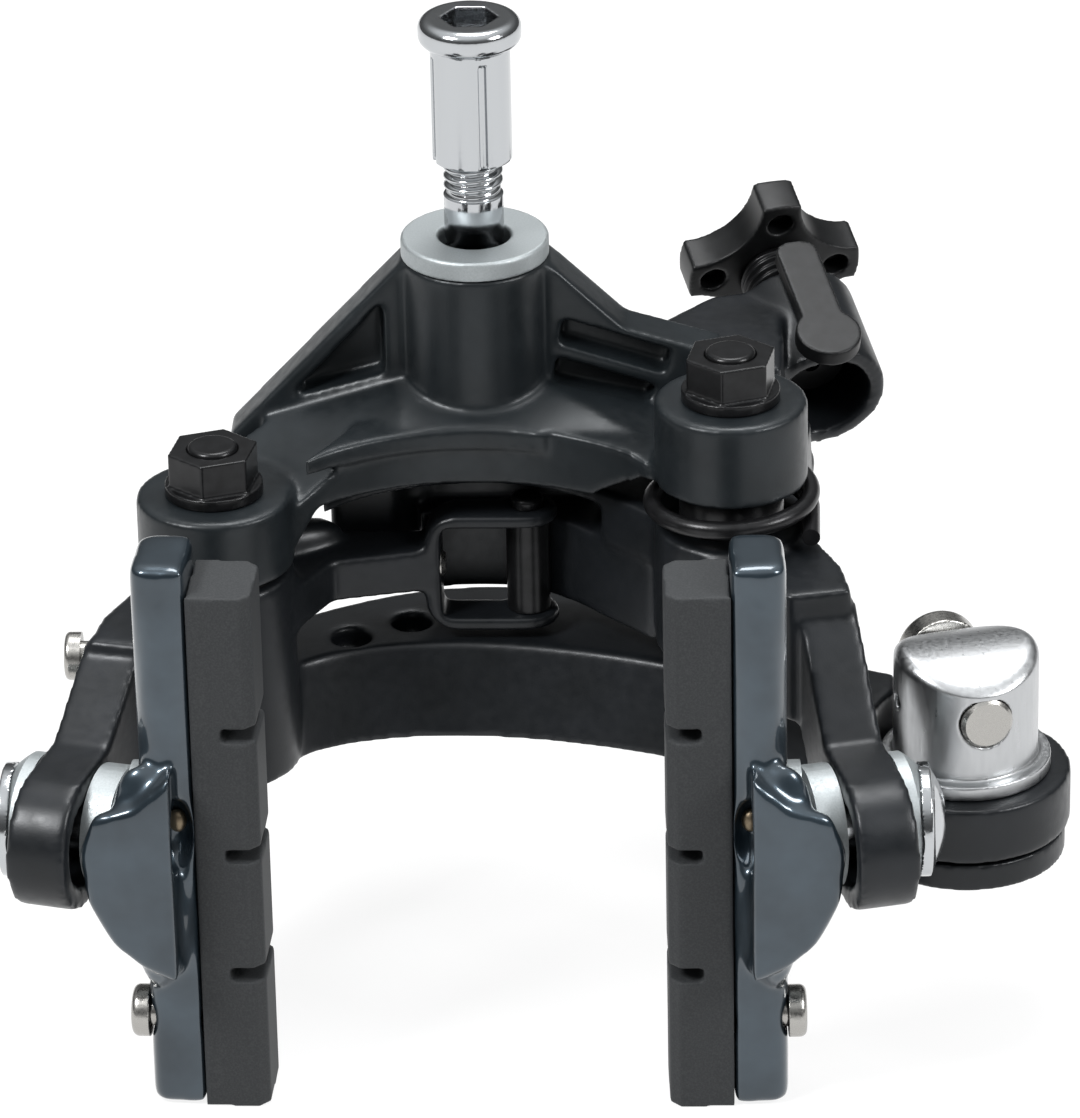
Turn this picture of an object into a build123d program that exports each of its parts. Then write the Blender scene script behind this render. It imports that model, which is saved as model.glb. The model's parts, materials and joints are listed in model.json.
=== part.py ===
from build123d import *
from math import cos, radians, sin, sqrt
import os

# Dual-pivot rim brake caliper with a rear-brake bolt, standing fully open. Millimetres.
# Origin: centre of the mounting washer's rear face, on the mounting bolt's axis.
# +Z runs along the mounting bolt out of the back, +X is the cable side, and +Y is the way
# away from the tyre. The shoes hang towards -Y.

os.makedirs("parts", exist_ok=True)

# ---- driving dimensions ----------------------------------------------------------------
LEFT, RIGHT = -1, 1
SIDES = (LEFT, RIGHT)
RUNNING_GAP = 0.05
THROUGH = 60.0

# mounting bolt, washer and sunken nut
BOLT_R, BOLT_TOP, BOLT_CHAMFER = 2.8, 16.0, 0.6
SHANK_R, SHANK_TOP = 3.0, 4.6
BOLT_HEAD_R, BOLT_HEAD_TOP, BOLT_HEAD_H = 5.0, -19.4, 3.8
BOLT_SOCKET_AF, BOLT_SOCKET_DEPTH = 5.0, 2.2
WASHER_R, WASHER_HOLE_R, WASHER_T, WASHER_EDGE = 7.45, 3.6, 2.0, 0.2
NUT_R, NUT_BOTTOM, NUT_TOP = 4.0, 8.4, 23.4
NUT_FLANGE_R, NUT_FLANGE_BOTTOM, NUT_ROUND = 5.15, 20.6, 1.05
NUT_SOCKET_AF, NUT_SOCKET_DEPTH = 5.0, 4.5
NUT_GROOVE_W, NUT_GROOVE_DEPTH, NUT_GROOVES = 0.8, 0.5, 4

# the two pivots
PIVOT_X, PIVOT_Y = 25.7, -16.0
STUD_R = 2.5
STUD_HEAD_R, STUD_HEAD_H, STUD_SOCKET_AF, STUD_END_ROUND = 4.2, 1.6, 4.0, 0.5
BOSS_R = {LEFT: 7.8, RIGHT: 7.6}
BOSS_TOP = {LEFT: -20.8, RIGHT: -10.6}
BOSS_BOTTOM = {LEFT: -28.5, RIGHT: -19.4}
SPOTFACE_R = 9.2
KNUCKLE_R, BUSH_R = 7.7, 4.0
KNUCKLE_TOP = {LEFT: -29.0, RIGHT: -24.0}
KNUCKLE_BOTTOM = {LEFT: -50.8, RIGHT: -37.5}
HEX_AF, HEX_H, HEX_TURN, HEX_FLANGE_R, HEX_FLANGE_H = 8.0, 3.6, 20, 4.9, 1.2
SPACER_R, THRUST_R = 5.2, 6.5

# return spring
WIRE_R, COIL_R, COIL_PITCH, COIL_TURNS, COIL_START = 0.9, 7.9, 2.0, 1.1, -22.8
SPRING_LEG = 6.0

# bridge
DECK_BOTTOM, DECK_TOP = -23.4, -2.0
ARCH_HALF, ARCH_END_Y, RIM_Y = 17.6, -17.0, -9.2
LIP_Y, LIP_TOP, LIP_BOTTOM = -10.2, -17.0, -19.2
WEB_NEAR, WEB_FAR, POCKET_DEPTH = -2.5, 3.0, 2.6
SHELF_AT, SHELF_SLOPE_X, SHELF_SLOPE_Y = Vector(-7.4, WEB_NEAR, -14.5), 0.3, 0.32

# long arm: arch plate, fork and anchor ring
ARCH_FRONT, ARCH_BACK, ARCH_TAPER = -50.8, -41.6, 3.6
RING_X, RING_Y, RING_R = 48.9, -24.6, 10.5
RING_FRONT, RING_BACK = -52.8, -46.7
FORK_NEAR, FORK_FAR, FORK_UPPER, FORK_LOWER = -8.2, -3.3, -27.6, -40.6
PRONG_T, THROAT_LEFT, THROAT_WEB, THROAT_ROUND = 1.5, -5.5, 1.7, 3.5
ROLLER_X, ROLLER_Y, ROLLER_R, ROLLER_PIN_R, ROLLER_EYE_R = 4.9, -5.0, 2.2, 1.25, 3.1
ROLLER_HEAD_R, ROLLER_HEAD_H = 1.7, 1.1
BLIND_HOLES, BLIND_R, BLIND_DEPTH = [(-13.2, -6.9), (-7.2, -3.5)], 2.0, 2.5
CENTRING_AT, CENTRING_R, CENTRING_HEAD_R = Vector(-38.6, -26.0, -34.0), 1.5, 2.4
TENSION_AT, TENSION_R, TENSION_LENGTH = Vector(-13.0, -6.4, -33.5), 1.4, 9.6

# short arm: roller track, lug and cable stop
TRACK_R, TRACK_HALF, TRACK_TOP, TRACK_BOTTOM = 14.4, 6.2, -29.5, -38.7
LUG_TOP, LUG_SPLIT, LUG_BOTTOM = -17.6, -24.6, -33.0
PLATE_T = 1.6
STOP_MOUTH = Vector(35.0, 16.0, -25.8)
STOP_AXIS = Vector(-0.27, 0.90, 0.34).normalized()
STOP_R, STOP_BORE_R, STOP_LENGTH, STOP_BORE_DEPTH = 6.6, 4.9, 13.0, 9.0
SLEEVE_R, SLEEVE_START, SLEEVE_END = 3.5, 5.0, 23.8
HOUSING_R, HOUSING_DEPTH, CABLE_R = 2.55, 8.0, 0.9
KNOB_AT, KNOB_T, KNOB_TIP_R, KNOB_SCALLOP_R, KNOB_LOBES = 19.2, 4.4, 9.3, 7.0, 4
KNOB_RECESS_R, KNOB_RECESS_DEPTH = 1.35, 2.4
CLIP_W, CLIP_T, CLIP_LENGTH, CLIP_ROUND, CLIP_TAB_R = 4.4, 1.8, 16.0, 1.6, 3.4

# arm ends and shoe bolts: the seat leans by SEAT_LEAN, the shoe by PAD_LEAN
SEAT_LEAN, PAD_LEAN = 15.0, 3.0
PAD_FACE_X, SHOE_Y, SHOE_Z, SEAT_DISTANCE = 19.5, -43.0, -43.8, 19.1
SEAT_T, SEAT_HALF_H, SLOT_HALF_W = 6.0, 6.6, 4.2
SLOT_DOWN, SLOT_UP = 4.0, 1.5
SPHERE_GAP = 0.15
OUTER_SPHERE_R, OUTER_SEAT_R, OUTER_SEAT_BORE = 7.6, 6.3, 4.8
INNER_SPHERE_R, INNER_SEAT_R, INNER_SEAT_BORE = 8.4, 6.1, 4.9
CUP_BORE, CUP_BACK = 3.4, 8.2
SHOE_BOLT_R, SHOE_FLANGE_R, SHOE_FLANGE_FACE, SHOE_DOME_R, SHOE_HEAD_TOP = 2.9, 5.6, 6.5, 4.7, 8.4
SHOE_SOCKET_AF, SHOE_SOCKET_DEPTH, SHOE_BOLT_REACH = 4.0, 3.0, 4.3

# shoes
PAD_Y, PAD_T, PAD_H, PAD_BEVEL, PAD_END_ROUND = -44.2, 6.3, 8.5, 1.1, 2.0
PAD_TOP, PAD_BOTTOM = -16.5, -72.5
GROOVE_W, GROOVE_PITCH, GROOVE_DEPTH = 1.5, 13.2, 3.4
HOLDER_T, HOLDER_TOP, HOLDER_EDGE = 5.4, -13.6, 1.0
WING_T, WING_DROP, WING_ROOT = 1.8, 2.1, 0.4
PAD_SCREW_AT, PAD_SCREW_R, PAD_SCREW_HEAD_R, PAD_SCREW_HEAD_H = (-1.8, -63.2), 1.5, 2.6, 1.8

# cable anchor and quick release
ANCHOR_R, ANCHOR_TOP, ANCHOR_ROUND, ANCHOR_FLANGE_R, ANCHOR_FLANGE_T = 7.2, -33.4, 1.2, 8.5, 1.5
CLAMP_Z, CLAMP_ANGLE, CLAMP_R, CLAMP_HEAD_R, CLAMP_HEAD_H = -38.8, 16.0, 2.65, 4.2, 3.0
HUB_R, HUB_T, HUB_GAP = 10.0, 2.8, 0.3
LEVER_LENGTH, LEVER_W, LEVER_T, LEVER_ROUND = 21.0, 7.0, 2.6, 3.0
RELEASE_HEAD_R, RELEASE_HEAD_H, RELEASE_LENGTH = 4.2, 1.8, 14.5


# ---- directions and places worked out from them -----------------------------------------
def outward(side, lean):
    """The level direction away from the rim, leaning towards +Y by lean degrees."""
    return Vector(side * cos(radians(lean)), sin(radians(lean)), 0)


def along_arm(side):
    """The direction from the slotted end of an arm towards its pivot."""
    return Vector(-side * sin(radians(SEAT_LEAN)), cos(radians(SEAT_LEAN)), 0)


def facing(origin, direction, x_dir=(0, 0, 1)):
    """A plane at origin whose normal is direction."""
    return Plane(origin=origin, x_dir=x_dir, z_dir=direction)


def pivot_plane(side, z):
    """The plane across one pivot's axis at height z."""
    return Plane(origin=(side * PIVOT_X, PIVOT_Y, z))


SEAT_MID = {side: Vector(side * PAD_FACE_X, SHOE_Y, SHOE_Z) + outward(side, PAD_LEAN) * SEAT_DISTANCE
            for side in SIDES}
STUD_HOLE_R = STUD_R + RUNNING_GAP


# ---- small building steps used by many parts --------------------------------------------
def save(builder, name):
    """Label a finished piece and write it as its own STEP file."""
    builder.part.label = name
    export_step(builder.part, f"parts/{name}.step")


def post(plane, radius, height, mode=Mode.ADD):
    """A cylinder standing on plane."""
    with BuildSketch(plane) as outline:
        Circle(radius)
    extrude(outline.sketch, amount=height, mode=mode)


def ring(plane, radius, hole_radius, height):
    """A flat ring standing on plane."""
    with BuildSketch(plane) as outline:
        Circle(radius)
        Circle(hole_radius, mode=Mode.SUBTRACT)
    extrude(outline.sketch, amount=height)


def hexagon(plane, across_flats, height, mode=Mode.ADD, rotation=0):
    """A six-sided prism standing on plane."""
    with BuildSketch(plane) as outline:
        RegularPolygon(across_flats / 2, 6, major_radius=False, rotation=rotation)
    extrude(outline.sketch, amount=height, mode=mode)


def block(plane, points, height, mode=Mode.ADD):
    """A straight-sided outline on plane, extruded along its normal."""
    with BuildSketch(plane) as outline:
        Polygon(*points, align=None)
    extrude(outline.sketch, amount=height, mode=mode)


# ---- mounting hardware -------------------------------------------------------------------
with BuildPart() as mounting_bolt:
    head_plane = Plane.XY.offset(BOLT_HEAD_TOP - BOLT_HEAD_H)
    post(head_plane, BOLT_HEAD_R, BOLT_HEAD_H)
    chamfer(mounting_bolt.edges().sort_by(Axis.Z)[0], BOLT_CHAMFER)
    hexagon(head_plane, BOLT_SOCKET_AF, BOLT_SOCKET_DEPTH, Mode.SUBTRACT)
    post(Plane.XY.offset(BOLT_HEAD_TOP), BOLT_R, BOLT_TOP - BOLT_HEAD_TOP)
    chamfer(mounting_bolt.edges().sort_by(Axis.Z)[-1], BOLT_CHAMFER)
    post(Plane.XY, SHANK_R, SHANK_TOP)
save(mounting_bolt, "mounting_bolt")

with BuildPart() as mounting_washer:
    ring(Plane.XY.offset(-WASHER_T), WASHER_R, WASHER_HOLE_R, WASHER_T)
    chamfer(mounting_washer.faces().sort_by(Axis.Z)[-1].edges(), WASHER_EDGE)
save(mounting_washer, "mounting_washer")

with BuildPart() as sunken_nut:
    post(Plane.XY.offset(NUT_BOTTOM), NUT_R, NUT_TOP - NUT_BOTTOM)
    post(Plane.XY.offset(NUT_FLANGE_BOTTOM), NUT_FLANGE_R, NUT_TOP - NUT_FLANGE_BOTTOM)
    fillet(sunken_nut.edges().filter_by(GeomType.CIRCLE).filter_by(
        lambda edge: abs(edge.radius - NUT_FLANGE_R) < RUNNING_GAP), NUT_ROUND)
    post(Plane.XY.offset(NUT_BOTTOM), BOLT_R + RUNNING_GAP, BOLT_TOP + 1 - NUT_BOTTOM, Mode.SUBTRACT)
    hexagon(Plane.XY.offset(NUT_TOP - NUT_SOCKET_DEPTH), NUT_SOCKET_AF, NUT_SOCKET_DEPTH, Mode.SUBTRACT)
    with BuildSketch(Plane.XY.offset(NUT_BOTTOM)):
        with PolarLocations(NUT_R, NUT_GROOVES, start_angle=-70):
            Rectangle(2 * NUT_GROOVE_DEPTH, NUT_GROOVE_W)
    extrude(amount=NUT_FLANGE_BOTTOM - NUT_ROUND - NUT_BOTTOM, mode=Mode.SUBTRACT)
save(sunken_nut, "sunken_nut")

# ---- bridge ------------------------------------------------------------------------------
# Outline from behind (X, Y), front silhouette (X, Z) and side silhouette (Y, Z) of the deck;
# the webs and their pockets are (X, Z) outlines on the faces of the two webs.
DECK_OUTLINE = [(33.0, -17.0), (31.0, -9.5), (10.0, 4.5), (-10.0, 4.5), (-31.0, -9.5), (-33.0, -17.0)]
DECK_FRONT = [(-34.0, -20.4), (-9.0, -13.6), (4.0, -14.2), (9.0, -15.3), (18.5, -17.8),
              (34.0, -17.8), (34.0, -19.4), (17.0, -19.4), (11.5, DECK_BOTTOM), (-15.6, DECK_BOTTOM),
              (-19.0, -28.5), (-34.0, -28.5)]
DECK_SIDE = [(6.0, -14.5), (WEB_NEAR, -14.5), (-10.4, -17.1), (-30.0, -17.1), (-30.0, -29.0),
             (6.0, -29.0)]
WEBS = [
    [(-5.0, -2.2), (-7.4, -2.2), (-25.2, -21.2), (-25.2, DECK_BOTTOM), (-5.0, DECK_BOTTOM)],
    [(5.0, -2.2), (7.4, -2.2), (15.0, -9.4), (24.6, -12.2), (24.6, -19.0), (5.0, -22.0)],
]
POCKETS = [
    [(-9.3, -6.3), (-9.3, -14.2), (-18.9, -16.9)],
    [(8.7, -8.3), (19.6, -11.8), (19.0, -14.4), (8.3, -11.0)],
    [(8.0, -12.5), (18.2, -15.8), (16.9, -17.6), (10.7, -16.2), (7.6, -15.4)],
]
web_view = Plane(origin=(0, WEB_NEAR, 0), x_dir=(1, 0, 0), z_dir=(0, -1, 0))

with BuildPart() as bridge:
    with BuildSketch(Plane.XY.offset(BOSS_BOTTOM[LEFT])):
        with BuildLine():
            ThreePointArc((-ARCH_HALF, ARCH_END_Y), (0, RIM_Y), (ARCH_HALF, ARCH_END_Y))
            Polyline((ARCH_HALF, ARCH_END_Y), *DECK_OUTLINE, (-ARCH_HALF, ARCH_END_Y))
        make_face()
    extrude(amount=DECK_TOP - BOSS_BOTTOM[LEFT])
    with BuildSketch(Plane.XZ):
        Polygon(*DECK_FRONT, align=None)
    extrude(amount=THROUGH, both=True, mode=Mode.INTERSECT)
    with BuildSketch(Plane.YZ):
        Polygon(*DECK_SIDE, align=None)
    extrude(amount=THROUGH, both=True, mode=Mode.INTERSECT)
    shelf = Plane(origin=SHELF_AT, x_dir=(-1, 0, -SHELF_SLOPE_X), z_dir=(-SHELF_SLOPE_X, -SHELF_SLOPE_Y, 1))
    with BuildSketch(shelf):
        Rectangle(THROUGH, THROUGH, align=(Align.MIN, Align.MIN))
    extrude(amount=THROUGH, dir=(0, 0, 1), mode=Mode.SUBTRACT)
    for web in WEBS:
        block(web_view, web, WEB_NEAR - WEB_FAR)
    for pocket in POCKETS:
        block(web_view, pocket, -POCKET_DEPTH, Mode.SUBTRACT)
    with BuildSketch(Plane.XY.offset(LIP_BOTTOM)):
        with BuildLine():
            lip = ThreePointArc((-17.0, -17.3), (-5.5, LIP_Y - 0.4), (7.0, LIP_Y - 0.6))
            Polyline(lip @ 1, (7.0, -8.0), (-12.0, -8.0), lip @ 0)
        make_face()
    extrude(amount=LIP_TOP - LIP_BOTTOM)
    post(Plane.XY.offset(DECK_BOTTOM), WASHER_R, -WASHER_T - DECK_BOTTOM)
    post(pivot_plane(LEFT, BOSS_TOP[LEFT]), SPOTFACE_R, THROUGH, Mode.SUBTRACT)
    post(pivot_plane(RIGHT, BOSS_BOTTOM[RIGHT]), SPOTFACE_R, -THROUGH, Mode.SUBTRACT)
    for side in SIDES:
        post(pivot_plane(side, BOSS_BOTTOM[side]), BOSS_R[side], BOSS_TOP[side] - BOSS_BOTTOM[side])
        post(pivot_plane(side, BOSS_BOTTOM[side]), STUD_HOLE_R, THROUGH, Mode.SUBTRACT)
    post(Plane.XY.offset(-THROUGH), BOLT_R + RUNNING_GAP, THROUGH, Mode.SUBTRACT)
    post(Plane.XY.offset(BOLT_HEAD_TOP), BOLT_HEAD_R + 0.2, -THROUGH, Mode.SUBTRACT)
save(bridge, "bridge")

# ---- pivot studs, nuts, washers and bushes -------------------------------------------------
for side, name in ((LEFT, "pivot_stud_left"), (RIGHT, "pivot_stud_right")):
    head_top = KNUCKLE_BOTTOM[side] - 0.2
    stud_top = BOSS_TOP[side] + HEX_FLANGE_H + HEX_H + 0.4
    with BuildPart() as stud:
        post(pivot_plane(side, head_top), STUD_HEAD_R, -STUD_HEAD_H)
        hexagon(pivot_plane(side, head_top - STUD_HEAD_H), STUD_SOCKET_AF, STUD_HEAD_H, Mode.SUBTRACT)
        post(pivot_plane(side, head_top), STUD_R, stud_top - head_top)
        fillet(stud.edges().sort_by(Axis.Z)[-1], STUD_END_ROUND)
    save(stud, name)

with BuildPart() as pivot_nuts:
    for side in SIDES:
        post(pivot_plane(side, BOSS_TOP[side]), HEX_FLANGE_R, HEX_FLANGE_H)
        hexagon(pivot_plane(side, BOSS_TOP[side] + HEX_FLANGE_H), HEX_AF, HEX_H, rotation=HEX_TURN)
        post(pivot_plane(side, BOSS_TOP[side]), STUD_HOLE_R, THROUGH, Mode.SUBTRACT)
save(pivot_nuts, "pivot_nuts")

with BuildPart() as thrust_washer:
    ring(pivot_plane(LEFT, KNUCKLE_TOP[LEFT] + RUNNING_GAP), THRUST_R, STUD_HOLE_R,
         BOSS_BOTTOM[LEFT] - KNUCKLE_TOP[LEFT] - RUNNING_GAP)
save(thrust_washer, "thrust_washer")

with BuildPart() as spring_spacer:
    ring(pivot_plane(RIGHT, KNUCKLE_TOP[RIGHT] + RUNNING_GAP), SPACER_R, STUD_HOLE_R,
         BOSS_BOTTOM[RIGHT] - KNUCKLE_TOP[RIGHT] - RUNNING_GAP)
save(spring_spacer, "spring_spacer")

for side, name in ((LEFT, "pivot_bush_left"), (RIGHT, "pivot_bush_right")):
    with BuildPart() as bush:
        ring(pivot_plane(side, KNUCKLE_BOTTOM[side]), BUSH_R, STUD_HOLE_R,
             KNUCKLE_TOP[side] - KNUCKLE_BOTTOM[side])
    save(bush, name)

# ---- return spring: a turn and a bit round the right pivot, with two short legs ------------
with BuildPart() as return_spring:
    with BuildLine():
        coil = Helix(COIL_PITCH, COIL_PITCH * COIL_TURNS, COIL_R, center=(PIVOT_X, PIVOT_Y, COIL_START))
    with BuildSketch(Plane(coil @ 0, z_dir=coil % 0)):
        Circle(WIRE_R)
    sweep()
    post(facing(coil @ 0, (coil % 0) * -1), WIRE_R, SPRING_LEG)
    post(facing(coil @ 1, coil % 1), WIRE_R, SPRING_LEG)
save(return_spring, "return_spring")

# ---- arm ends, shared by both arms -----------------------------------------------------------
def arm_end(side, leg_top, leg_bottom, leg_reach):
    """The slotted lower end of an arm, flat on both faces of its leaning seat."""
    seat = Plane(origin=SEAT_MID[side] - outward(side, SEAT_LEAN) * (SEAT_T / 2),
                 x_dir=along_arm(side), z_dir=outward(side, SEAT_LEAN))
    up = seat.y_dir.Z
    with BuildSketch(seat) as outline:
        with Locations((-SLOT_DOWN, 0)):
            Circle(SEAT_HALF_H)
        Polygon((-SLOT_DOWN, up * SEAT_HALF_H), (SLOT_UP + 2, up * SEAT_HALF_H),
                (leg_reach, up * (leg_top - SHOE_Z)), (leg_reach, up * (leg_bottom - SHOE_Z)),
                (SLOT_UP + 2, -up * SEAT_HALF_H), (-SLOT_DOWN, -up * SEAT_HALF_H), align=None)
    extrude(outline.sketch, amount=SEAT_T)


def arm_slot(side):
    """The slot that lets the shoe bolt stand higher or lower in the arm."""
    middle = SEAT_MID[side] + along_arm(side) * ((SLOT_UP - SLOT_DOWN) / 2)
    with BuildSketch(Plane(origin=middle, x_dir=along_arm(side), z_dir=outward(side, SEAT_LEAN))) as outline:
        SlotCenterToCenter(SLOT_UP + SLOT_DOWN, 2 * SLOT_HALF_W)
    extrude(outline.sketch, amount=2 * SEAT_T, both=True, mode=Mode.SUBTRACT)


def arm_shoulder(side, bottom, top):
    """The cheek that joins a pivot knuckle to the arm's leg."""
    points = [(20.6, -21.5), (31.6, -31.0), (37.6, -29.6), (36.6, -24.0), (34.0, -18.0), (32.6, -12.5),
              (25.7, -9.0)]
    block(Plane.XY.offset(bottom), [(side * x, y) for x, y in points], top - bottom)


# ---- long arm --------------------------------------------------------------------------------
UNDERSIDE = [(-20.5, -22.0), (-17.3, -16.0), (-10.5, -12.9), (0.0, -12.1), (12.2, -14.3),
             (24.0, -19.0), (35.0, -26.2), (42.0, -31.6)]
UPPERSIDE = [(42.0, -15.0), (38.7, -13.6), (28.0, -6.5), (15.0, 0.8), (3.0, 4.6), (-7.0, 3.6),
             (-16.0, -0.6), (-29.0, -9.5)]
NECK = [(-28.0, -9.5), (-19.5, -20.5), (-14.5, -10.6), (-4.6, FORK_NEAR), (-4.6, FORK_FAR),
        (-14.0, FORK_FAR), (-26.0, -8.6)]
NECK_TOP, NECK_BOTTOM = -31.2, -36.0
NECK_RIB, NECK_RIB_TOP = [(-26.0, -8.6), (-24.0, -11.0), (-16.0, -6.7), (-16.0, -4.2)], -29.1
fork_mid = (FORK_UPPER + FORK_LOWER) / 2
fork_view = Plane(origin=(0, FORK_NEAR, fork_mid), x_dir=(1, 0, 0), z_dir=(0, -1, 0))

with BuildPart() as long_arm:
    for z, taper in ((ARCH_FRONT, 0), (ARCH_BACK, ARCH_TAPER)):
        with BuildSketch(Plane.XY.offset(z)):
            with BuildLine():
                under = Spline(*[(x, y + taper) for x, y in UNDERSIDE])
                Line(under @ 1, UPPERSIDE[0])
                upper = Spline(*UPPERSIDE)
                Line(upper @ 1, under @ 0)
            make_face()
    loft(ruled=True)
    post(Plane((RING_X, RING_Y, RING_BACK)), ANCHOR_FLANGE_R + 0.5, THROUGH, Mode.SUBTRACT)
    post(Plane((RING_X, RING_Y, RING_FRONT)), RING_R, RING_BACK - RING_FRONT)
    post(pivot_plane(LEFT, KNUCKLE_BOTTOM[LEFT]), KNUCKLE_R, KNUCKLE_TOP[LEFT] - KNUCKLE_BOTTOM[LEFT])
    arm_shoulder(LEFT, -48.5, -30.5)
    arm_end(LEFT, -31.0, -48.5, 13.5)
    block(Plane.XY.offset(NECK_BOTTOM), NECK, NECK_TOP - NECK_BOTTOM)
    block(Plane.XY.offset(NECK_TOP), NECK_RIB, NECK_RIB_TOP - NECK_TOP)
    with BuildSketch(fork_view):
        with Locations(((THROAT_LEFT + ROLLER_X) / 2, 0)):
            RectangleRounded(ROLLER_X - THROAT_LEFT, FORK_UPPER - FORK_LOWER, THROAT_ROUND)
        with Locations((THROAT_LEFT + THROAT_WEB + ROLLER_X / 2 + 2, 0)):
            Rectangle(ROLLER_X + 4, FORK_UPPER - FORK_LOWER - 2 * PRONG_T, mode=Mode.SUBTRACT)
        with Locations((ROLLER_X, 0)):
            Rectangle(ROLLER_X, THROUGH, mode=Mode.SUBTRACT)
    extrude(amount=FORK_NEAR - FORK_FAR)
    for z in (FORK_UPPER - PRONG_T, FORK_LOWER):
        with BuildSketch(Plane.XY.offset(z)):
            with Locations((ROLLER_X / 2, (FORK_NEAR + FORK_FAR) / 2)):
                Rectangle(ROLLER_X, FORK_FAR - FORK_NEAR)
            with Locations((ROLLER_X, ROLLER_Y)):
                Circle(ROLLER_EYE_R)
        extrude(amount=PRONG_T)
    post(Plane((ROLLER_X, ROLLER_Y, FORK_LOWER)), ROLLER_PIN_R, THROUGH, Mode.SUBTRACT)
    post(Plane((RING_X, RING_Y, RING_FRONT)), STUD_HOLE_R, THROUGH, Mode.SUBTRACT)
    post(pivot_plane(LEFT, KNUCKLE_BOTTOM[LEFT]), BUSH_R, THROUGH, Mode.SUBTRACT)
    arm_slot(LEFT)
    for x, y in BLIND_HOLES:
        post(Plane((x, y, ARCH_BACK - BLIND_DEPTH)), BLIND_R, BLIND_DEPTH, Mode.SUBTRACT)
    post(facing(CENTRING_AT, (1, 0, 0)), CENTRING_R + RUNNING_GAP, 9.0, Mode.SUBTRACT)
    post(facing(TENSION_AT, (1, 0, 0)), TENSION_R + RUNNING_GAP, THROUGH / 4, Mode.SUBTRACT)
save(long_arm, "long_arm")

with BuildPart() as link_roller:
    ring(Plane((ROLLER_X, ROLLER_Y, FORK_LOWER + PRONG_T + 0.1)), ROLLER_R, ROLLER_PIN_R + RUNNING_GAP,
         FORK_UPPER - FORK_LOWER - 2 * PRONG_T - 0.2)
save(link_roller, "link_roller")

with BuildPart() as roller_pin:
    post(Plane((ROLLER_X, ROLLER_Y, FORK_LOWER)), ROLLER_PIN_R, FORK_UPPER - FORK_LOWER)
    post(Plane((ROLLER_X, ROLLER_Y, FORK_UPPER)), ROLLER_HEAD_R, ROLLER_HEAD_H)
    fillet(roller_pin.edges().sort_by(Axis.Z)[-1], ROLLER_HEAD_H / 2)
save(roller_pin, "roller_pin")

with BuildPart() as centring_screw:
    post(facing(CENTRING_AT, (1, 0, 0)), CENTRING_R, 8.0)
    post(facing(CENTRING_AT, (-1, 0, 0)), CENTRING_HEAD_R, 1.6)
    fillet(centring_screw.edges().sort_by(Axis.X)[0], 0.5)
    hexagon(facing(CENTRING_AT - Vector(1.6, 0, 0), (1, 0, 0)), 2.0, 1.2, Mode.SUBTRACT)
save(centring_screw, "centring_screw")

with BuildPart() as tension_screw:
    post(facing(TENSION_AT, (1, 0, 0)), TENSION_R, TENSION_LENGTH)
    chamfer(tension_screw.edges().sort_by(Axis.X)[-1], 0.4)
save(tension_screw, "tension_screw")

# ---- short arm -------------------------------------------------------------------------------
PLATE_UNDER = [(18.5, -15.5), (10.7, -8.3), (4.0, -5.2), (-3.0, -5.1), (-10.0, -7.4), (-15.4, -12.0)]
PLATE_UPPER = [(-14.4, -4.4), (-8.0, 0.8), (0.0, 2.6), (10.0, 0.0), (20.5, -9.0)]
LUG_LOW = [(19.0, -20.0), (18.0, -10.0), (16.5, 6.0), (18.3, 18.0), (24.0, 25.0), (31.0, 27.0),
           (34.0, 14.0), (32.8, -4.0), (33.0, -18.0)]
LUG_HIGH = [(16.6, 6.0), (18.3, 18.0), (24.0, 25.0), (30.2, 27.0), (30.8, 14.0), (30.6, 6.0)]
TRACK_BODY = [(9.5, -5.6), (17.5, -14.0), (24.0, -14.0), (22.0, -7.0), (12.0, 1.8), (-5.4, 2.4)]
TRACK_WEB = [(12.5, -9.3), (18.5, -15.5), (24.0, -14.0), (22.0, -7.0), (13.0, 0.5)]
BACK_WALL = [(-15.2, -3.0), (-9.0, -2.4), (-5.0, 0.0), (12.0, 0.4), (12.0, 1.8), (-5.4, 2.4), (-8.0, 1.6),
             (-15.2, -1.4)]
BACK_WALL_END = [(-15.2, -3.0), (-9.0, -2.4), (-5.9, 0.2), (-5.9, 2.3), (-8.0, 1.6), (-15.2, -1.4)]
BACK_WALL_BOTTOM = -33.2
track_end_y = PIVOT_Y + sqrt(TRACK_R**2 - TRACK_HALF**2)

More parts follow.
